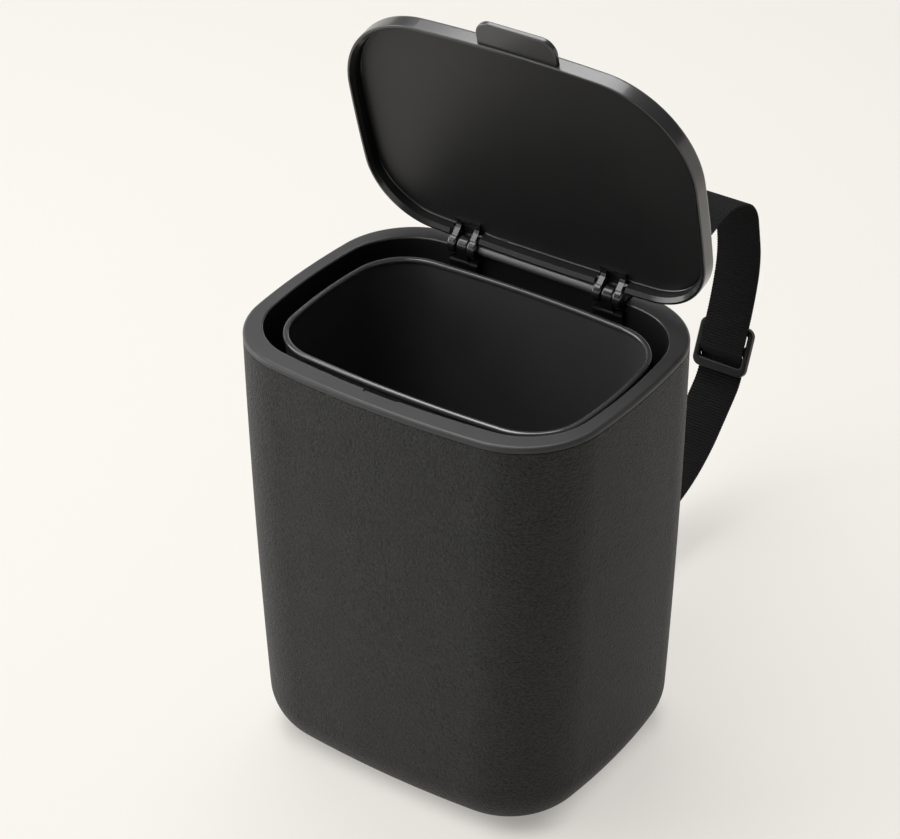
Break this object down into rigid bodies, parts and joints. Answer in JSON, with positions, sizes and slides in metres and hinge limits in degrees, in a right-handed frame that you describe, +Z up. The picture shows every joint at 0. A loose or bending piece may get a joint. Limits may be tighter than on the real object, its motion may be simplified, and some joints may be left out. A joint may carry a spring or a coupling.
{
  "type": "car trash bin",
  "caption": "Car trash bin with a grained tapered body, smooth collar, removable inner bucket, hinged lid with a finger tab and a webbing strap with a slider on its back.",
  "frame": {"origin": "centre of the base, on the plane that the bin stands on", "axes": "+Z up, front towards -Y, +X to the right as seen from the front"},
  "size_m": [0.2034, 0.3548, 0.3902],
  "materials": {
    "grained_shell": "fine leather-like grain",
    "satin_shell": "smooth satin",
    "bucket_plastic": "smooth satin",
    "hinge_plastic": "semi-gloss",
    "steel": "drawn steel",
    "black_screw": "black oxide",
    "webbing": "ribbed woven webbing",
    "slider_plastic": "moulded satin",
    "soft_pad": "matt"
  },
  "bodies": {
    "bin": {"outer_body": "grained_shell", "rim_collar": "satin_shell", "inner_bucket": "bucket_plastic", "hinge_leaf_left": "hinge_plastic", "hinge_leaf_right": "hinge_plastic", "leaf_screws": "black_screw", "hinge_pin": "steel", "hinge_spacer_tube": "hinge_plastic", "strap_webbing": "webbing", "strap_slider": "slider_plastic", "strap_anchor_upper": "slider_plastic", "strap_anchor_lower": "slider_plastic", "anchor_screws": "black_screw", "base_pad": "soft_pad"},
    "lid_group": {"lid": "satin_shell", "lid_hinge_bracket_left": "hinge_plastic", "lid_hinge_bracket_right": "hinge_plastic"}
  },
  "joints": [
    {"name": "lid_hinge", "type": "hinge", "parent": "bin", "child": "lid_group", "pos_m": [0, 0.0662, 0.2416], "axis": [-1, 0, 0], "range_deg": [-76, 34]}
  ]
}
